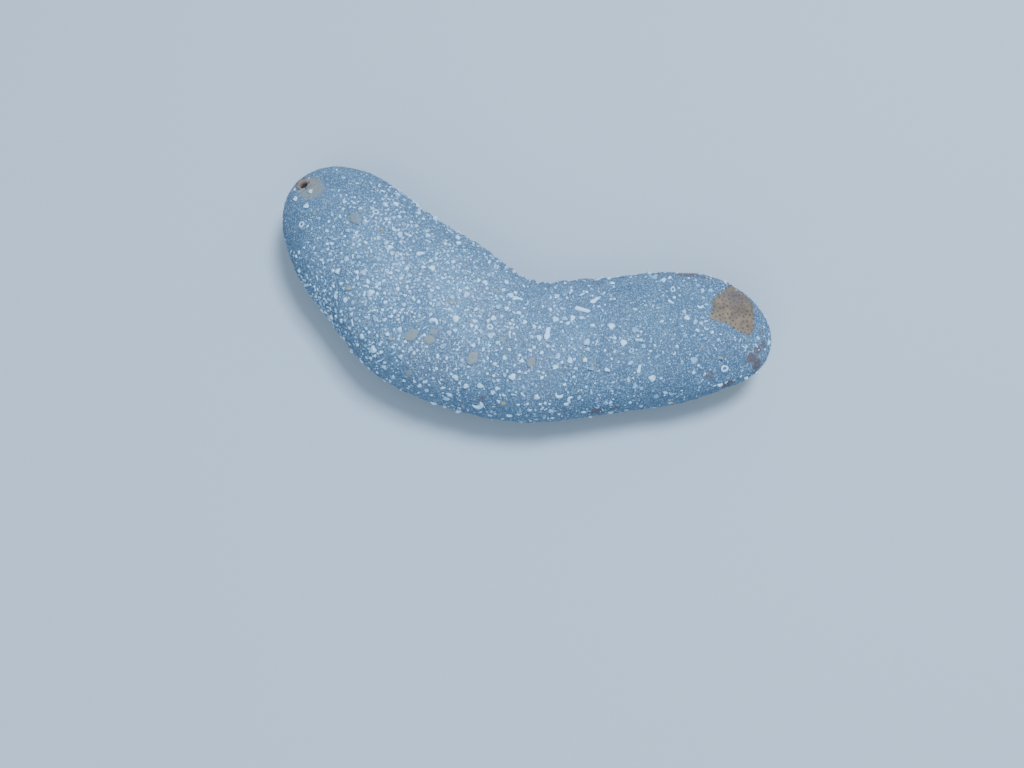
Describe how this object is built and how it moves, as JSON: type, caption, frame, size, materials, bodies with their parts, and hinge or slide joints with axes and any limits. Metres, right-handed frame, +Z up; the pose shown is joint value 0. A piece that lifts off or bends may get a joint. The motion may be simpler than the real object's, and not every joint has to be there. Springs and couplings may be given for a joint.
{
  "type": "sea cucumber",
  "caption": "Life-size still model of a plump, sand-coated sea cucumber lying in a bend on its flat sole, with mouth tentacles, tube feet and vent.",
  "frame": {"origin": "under the middle of the bounding box, at the level of the floor that the tube feet stand on", "axes": "+X runs from the tail towards the head, +Y towards the inside of the bend, +Z up"},
  "size_m": [0.2924, 0.1639, 0.0578],
  "materials": {
    "sanded_skin": "matte, coated with fine sand and shell grit",
    "sole_skin": "soft matte skin",
    "vent_skin": "bare satin skin",
    "mouth_skin": "moist satin skin",
    "tentacle_skin": "moist satin skin"
  },
  "bodies": {
    "root": {"tail_end": "sanded_skin", "hind_body": "sanded_skin", "mid_body": "sanded_skin", "fore_body": "sanded_skin", "head_end": "sanded_skin", "sole_tail": "sole_skin", "sole_hind": "sole_skin", "sole_mid": "sole_skin", "sole_fore": "sole_skin", "sole_head": "sole_skin", "mouth_collar": "mouth_skin", "oral_disc": "mouth_skin", "tentacle_01": "tentacle_skin", "tentacle_02": "tentacle_skin", "tentacle_03": "tentacle_skin", "tentacle_04": "tentacle_skin", "tentacle_05": "tentacle_skin", "tentacle_06": "tentacle_skin", "tentacle_07": "tentacle_skin", "tentacle_08": "tentacle_skin", "tentacle_09": "tentacle_skin", "tentacle_10": "tentacle_skin", "tentacle_11": "tentacle_skin", "tentacle_12": "tentacle_skin", "tentacle_13": "tentacle_skin", "tentacle_14": "tentacle_skin", "tentacle_15": "tentacle_skin", "tentacle_16": "tentacle_skin", "tentacle_17": "tentacle_skin", "tentacle_18": "tentacle_skin", "tentacle_19": "tentacle_skin", "tentacle_20": "tentacle_skin", "vent_disc": "vent_skin"}
  },
  "joints": []
}
